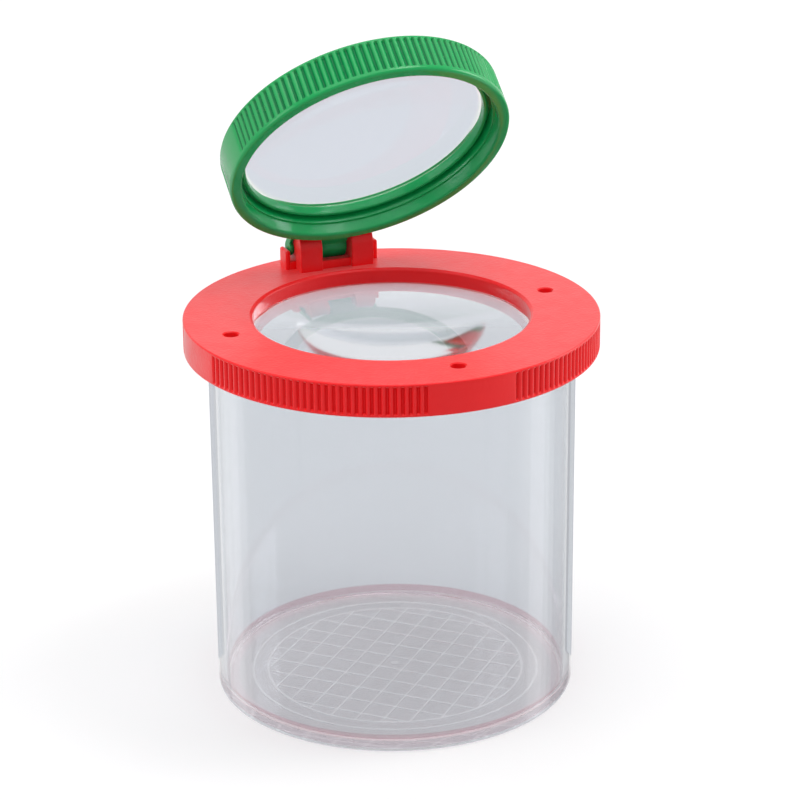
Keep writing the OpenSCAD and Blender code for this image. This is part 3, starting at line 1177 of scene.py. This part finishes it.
@dataclass
class Studio:
    """White surround with soft lamps, and the camera of the photograph."""

    camera_at: Place = (0.001485, -0.49288, 0.24693)
    clip_start: float = 0.01
    pitch_rad: float = 0.3663
    roll_rad: float = -0.0093
    camera_turn: float = -21.9
    focal_px: float = 2722.29
    image_px: float = 800.0
    sensor_mm: float = 36.0
    surround: Colour = (0.42, 0.425, 0.435)
    floor_r: float = 3.0
    floor_segments: int = 64
    floor_lift: Point = (0.33, 0.72)
    floor_lift_at: Point = (0.25, 1.0)
    floor_colour: Colour = (0.65, 0.65, 0.65)
    floor_gap_mm: float = 0.15
    flag_reach_mm: Point = (35.7, 42.0)
    flag_back_mm: float = 4.0
    flag_height_mm: Point = (0.5, 69.5)
    flag_colour: Colour = (0.60, 0.62, 0.66)
    sheet_r_mm: float = 36.0
    sheet_reach_mm: float = 320.0
    left_sheet: tuple[Point, ...] = (
        (40, 1.0), (50, 1.0), (53, 1.5), (57, 1.9), (61, 1.6),
        (65, 1.3), (68, 0.8), (73, 0.7), (80, 0.6), (88, 1.0),
    )
    right_sheet: tuple[Point, ...] = (
        (38, 1.0), (43, 1.3), (48, 2.1), (52, 2.1), (55, 1.5),
        (58, 0.9), (61, 0.35), (73, 0.25), (80, 0.6), (88, 1.0),
    )
    lamps: tuple[Lamp, ...] = (
        Lamp("overhead", (-0.15, 0.0, 0.95), 1.0, 5.0),
        Lamp("top_right", (0.32, -0.17, 0.86), 0.25, 1.2),
        Lamp("left", (-0.72, 0.08, 0.35), 0.35, 1.1),
        Lamp("right", (0.70, -0.06, 0.3), 0.35, 2.4),
        Lamp("front", (-0.19, -0.46, 0.7), 0.3, 0.12),
    )

    def camera(self) -> None:
        """Place the camera where the photograph was taken from."""
        turn = Matrix.Rotation(math.radians(self.camera_turn), 4, "Z")
        place = turn @ Matrix.Translation(self.camera_at)
        tilt = Matrix.Rotation(math.pi / 2 - self.pitch_rad, 4, "X") @ Matrix.Rotation(self.roll_rad, 4, "Z")
        camera = bpy.data.objects.new("camera", bpy.data.cameras.new("camera"))
        camera.matrix_world = place @ tilt
        camera.data.lens = self.focal_px / self.image_px * self.sensor_mm
        camera.data.sensor_width = self.sensor_mm
        camera.data.clip_start = self.clip_start
        bpy.context.scene.collection.objects.link(camera)
        bpy.context.scene.camera = camera

    def world(self) -> None:
        """White to the eye, and a soft grey light on the object."""
        board = NodeBoard(bpy.data.worlds.new("studio"))
        grey, white = (board.node("Background", {"Color": (*colour, 1)})
                       for colour in (self.surround, (1.0, 1.0, 1.0)))
        bpy.context.scene.world = board.show(board.either(board.seen(), grey, white))

    def floor(self) -> None:
        """A large white disc that keeps the object's shadow and is lifted to white far from the lamps."""
        bm = bmesh.new()
        bmesh.ops.create_circle(bm, cap_ends=True, segments=self.floor_segments, radius=self.floor_r / MM)
        floor = new_piece("floor", bm)
        floor.location.z = -self.floor_gap_mm * MM
        if floor.data.polygons[0].normal.z < 0:
            floor.data.flip_normals()
        board = NodeBoard(bpy.data.materials.new("white_table"))
        distance = board.node("VectorMath", {0: board.place()}, "Value", operation="LENGTH")
        lift = board.spread(distance, self.floor_lift, self.floor_lift_at)
        table = board.node("BsdfPrincipled", {
            "Base Color": (*self.floor_colour, 1),
            "Roughness": 1,
            "Specular IOR Level": 0,
            "Emission Color": (1, 1, 1, 1),
            "Emission Strength": board.maths("MULTIPLY", board.seen(), lift),
        })
        floor.data.materials.append(board.show(table))

    def flag(self, side: Side) -> None:
        """A grey card beside the jar that draws the cup's edge, seen only in light that the wall mirrors.

        Args:
            side: Side of the jar as the camera sees it.
        """
        inner, outer = (side.value * reach for reach in self.flag_reach_mm)
        low, high = self.flag_height_mm
        bm = bmesh.new()
        places = ((inner, low), (outer, low), (outer, high), (inner, high))
        bm.faces.new([bm.verts.new((x, self.flag_back_mm, z)) for x, z in places])
        card = new_piece("flag_" + side.name.lower(), bm)
        card.data.transform(Matrix.Rotation(math.radians(self.camera_turn), 4, "Z"))
        board = NodeBoard(bpy.data.materials.new("dark_card"))
        clear = board.node("BsdfTransparent")
        glow = board.node("Emission", {"Color": (*self.flag_colour, 1)})
        mirrored = board.maths("GREATER_THAN", board.light("Glossy Depth"), FIRST_MIRRORING[0])
        card.data.materials.append(board.show(board.either(mirrored, clear, glow)))
        card.visible_camera = card.visible_diffuse = card.visible_shadow = False

    def sheet(self, side: Side, shades: tuple[Point, ...]) -> None:
        """A shaded sheet on the floor beside the jar, seen only as a reflection in its walls.

        A place on the wall at some angle from the camera's side mirrors the floor in the direction
        of twice that angle. The shade counts for light that was mirrored once.

        Args:
            side: Side of the jar as the camera sees it.
            shades: Angles of places on the wall, with the brightness that the wall mirrors there.
        """
        bm = bmesh.new()
        layer = bm.verts.layers.float.new("shade")
        rows = []
        for turn, shade in shades:
            start = math.radians(self.camera_turn - 90 + side.value * turn)
            ahead = math.radians(self.camera_turn - 90 + side.value * 2 * turn)
            near = self.sheet_r_mm * Vector((math.cos(start), math.sin(start), 0))
            far = near + self.sheet_reach_mm * Vector((math.cos(ahead), math.sin(ahead), 0))
            rows.append((bm.verts.new(near), bm.verts.new(far)))
            for vert in rows[-1]:
                vert[layer] = shade
        for row, after in zip(rows, rows[1:]):
            bm.faces.new((row[0], row[1], after[1], after[0]))
        sheet = new_piece("sheet_" + side.name.lower(), bm)
        sheet.location.z = -self.floor_gap_mm * MM / 2
        board = NodeBoard(bpy.data.materials.new("shaded_sheet"))
        shade = board.node("Attribute", output="Fac", attribute_name="shade")
        once = board.maths("LESS_THAN", board.light("Glossy Depth"), FIRST_MIRRORING[1])
        strength = board.node("Mix", {0: once, 2: 1.0, 3: shade})
        sheet.data.materials.append(board.show(board.node("Emission", {"Strength": strength})))
        sheet.visible_camera = sheet.visible_diffuse = False
        sheet.visible_shadow = sheet.visible_transmission = False

    def build(self) -> None:
        """Set up camera, floor, cards, sheets, world and lamps."""
        self.camera()
        self.floor()
        for side in Side:
            self.flag(side)
        self.sheet(Side.LEFT, self.left_sheet)
        self.sheet(Side.RIGHT, self.right_sheet)
        self.world()
        for lamp in self.lamps:
            lamp.build()
        bpy.context.scene.view_settings.view_transform = "Standard"


def corners(box: tuple[Vector, Vector]) -> list[list[float]]:
    """A box as plain lists of numbers."""
    return [list(corner) for corner in box]


def main() -> None:
    """Build every piece and the studio."""
    logging.basicConfig(level=logging.INFO, format="%(name)s: %(message)s")
    hinge = Hinge()
    dress(Cup().build(), "jar_cup", "jar", "clear_plastic", *(zone.value for zone in Zone))
    lid = Lid(hinge)
    dress(lid.build(), "lid", "lid", "red_plastic", RED, RED_PAINTED_GROOVE_SHADE)
    dress(lid.lens().build(), "lid_lens", "lid", "lens_plastic", BIG_LENS, MARGIN)
    ring = SwingRing(hinge)
    dress(ring.build(), "swing_ring", "magnifier", "green_plastic", GREEN, GREEN_PAINTED_GROOVE_SHADE)
    glass = ring.lens().build()
    ring.swing(glass)
    dress(glass, "swing_lens", "magnifier", "lens_plastic", SMALL_LENS, MARGIN)
    Studio().build()


if __name__ == "__main__":
    main()
